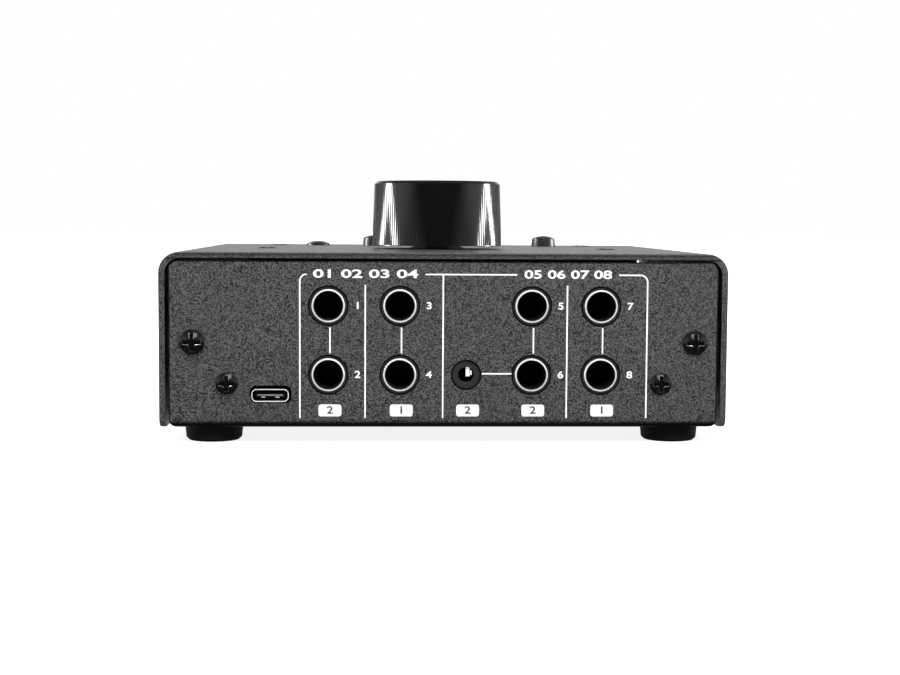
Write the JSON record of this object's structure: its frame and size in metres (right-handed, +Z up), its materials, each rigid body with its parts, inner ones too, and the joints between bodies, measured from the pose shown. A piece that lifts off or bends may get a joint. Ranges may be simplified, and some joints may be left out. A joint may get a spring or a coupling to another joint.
{
  "type": "studio monitor controller",
  "caption": "Desktop studio monitor controller: steel case with rear jacks, a large level knob and push buttons on top, headphone output in front.",
  "frame": {"origin": "on the table, below the middle of the footprint (case, rear screw heads and front knob)", "axes": "+Z up, +Y towards the rear jack panel, +X to the right of someone at the front"},
  "size_m": [0.134, 0.1347, 0.0632],
  "materials": {
    "powder_coated_steel": "fine-textured black powder coat",
    "foot_rubber": "moulded, matte",
    "black_screw_steel": "black oxide, satin",
    "zinc_steel": "zinc plated",
    "board_laminate": "solder mask over glass laminate",
    "jack_moulding": "moulded, satin",
    "socket_moulding": "moulded, matte",
    "nickel_plate": "bright nickel",
    "anodised_aluminium": "turned, black anodised",
    "button_abs": "moulded, satin"
  },
  "bodies": {
    "case": {"aux_jack": "jack_moulding", "board_bracket_left": "zinc_steel", "board_bracket_right": "zinc_steel", "board_spacers": "zinc_steel", "bracket_screws": "black_screw_steel", "chassis": "powder_coated_steel", "control_board": "board_laminate", "control_board_screws": "zinc_steel", "control_cover_screws": "black_screw_steel", "control_posts": "black_screw_steel", "cover_lugs": "powder_coated_steel", "foot_front_left": "foot_rubber", "foot_front_right": "foot_rubber", "foot_rear_left": "foot_rubber", "foot_rear_right": "foot_rubber", "foot_screws": "zinc_steel", "front_cover_screws": "black_screw_steel", "input_a_left_jack": "jack_moulding", "input_a_right_jack": "jack_moulding", "input_b_left_jack": "jack_moulding", "input_b_right_jack": "jack_moulding", "jack_board": "board_laminate", "jack_board_headers": "socket_moulding", "jack_ferrules": "nickel_plate", "level_bushing": "nickel_plate", "level_nut": "nickel_plate", "level_pot": "socket_moulding", "level_washer": "zinc_steel", "link_header": "socket_moulding", "link_socket": "socket_moulding", "main_board": "board_laminate", "main_board_screws": "zinc_steel", "output_a_left_jack": "jack_moulding", "output_a_right_jack": "jack_moulding", "output_b_left_jack": "jack_moulding", "output_b_right_jack": "jack_moulding", "phones_jack": "jack_moulding", "phones_mini_jack": "jack_moulding", "phones_nut": "nickel_plate", "phones_pot": "socket_moulding", "rear_cover_screws": "black_screw_steel", "switch_1": "socket_moulding", "switch_2": "socket_moulding", "switch_3": "socket_moulding", "switch_4": "socket_moulding", "switch_5": "socket_moulding", "top_cover": "powder_coated_steel", "usb_shell": "nickel_plate", "usb_tongue": "socket_moulding"},
    "level": {"level_shaft": "nickel_plate", "level_knob": "anodised_aluminium", "knob_grub_screw": "black_screw_steel"},
    "phones_level": {"phones_shaft": "nickel_plate", "phones_knob": "anodised_aluminium"},
    "button_1": {"button_1": "button_abs"},
    "button_2": {"button_2": "button_abs"},
    "button_3": {"button_3": "button_abs"},
    "button_4": {"button_4": "button_abs"},
    "button_5": {"button_5": "button_abs"}
  },
  "joints": [
    {"name": "level_turn", "type": "hinge", "parent": "case", "child": "level", "pos_m": [0, 0.0098, 0.04525], "axis": [0, 0, -1], "range_deg": [-150, 150]},
    {"name": "phones_level_turn", "type": "hinge", "parent": "case", "child": "phones_level", "pos_m": [0.043, -0.0538, 0.01653], "axis": [0, 1, 0], "range_deg": [-150, 150]},
    {"name": "button_1_press", "type": "slide", "parent": "case", "child": "button_1", "axis": [0, 0, -1], "range_m": [0, 0.0018], "stiffness_N_per_m": 900, "springref_m": -0.0012},
    {"name": "button_2_press", "type": "slide", "parent": "case", "child": "button_2", "axis": [0, 0, -1], "range_m": [0, 0.0018], "stiffness_N_per_m": 900, "springref_m": -0.0012},
    {"name": "button_3_press", "type": "slide", "parent": "case", "child": "button_3", "axis": [0, 0, -1], "range_m": [0, 0.0018], "stiffness_N_per_m": 900, "springref_m": -0.0012},
    {"name": "button_4_press", "type": "slide", "parent": "case", "child": "button_4", "axis": [0, 0, -1], "range_m": [0, 0.0018], "stiffness_N_per_m": 900, "springref_m": -0.0012},
    {"name": "button_5_release", "type": "slide", "parent": "case", "child": "button_5", "axis": [0, 0, 1], "range_m": [0, 0.0018]}
  ]
}
